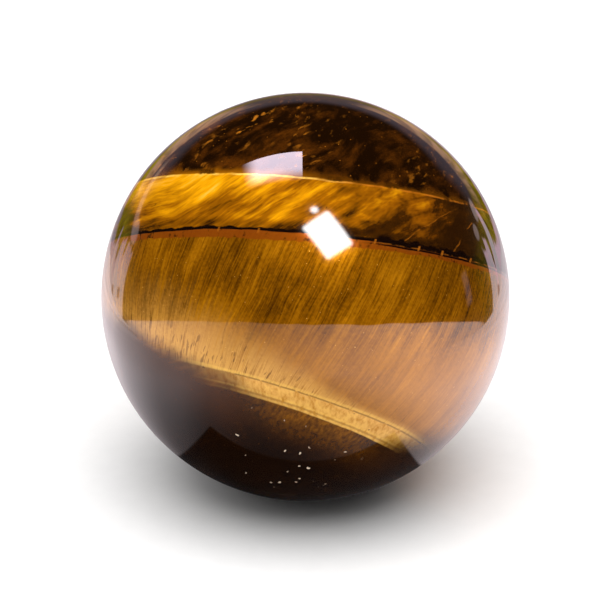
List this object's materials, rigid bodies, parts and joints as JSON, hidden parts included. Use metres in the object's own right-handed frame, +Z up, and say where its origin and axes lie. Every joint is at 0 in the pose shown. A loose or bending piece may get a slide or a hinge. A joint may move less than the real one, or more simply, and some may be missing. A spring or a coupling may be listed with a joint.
{
  "type": "polished tiger's eye sphere",
  "caption": "Polished ball of banded golden-brown tiger's eye stone that stands on a small flat ground under it.",
  "frame": {"origin": "centre of the small flat that the ball stands on, level with the surface under it", "axes": "+Z up through the ball's centre; -Y towards the viewer of the picture, +X to the right"},
  "size_m": [0.06, 0.06, 0.0598],
  "materials": {
    "tigers_eye": "polished"
  },
  "bodies": {
    "root": {"sphere": "tigers_eye"}
  },
  "joints": []
}
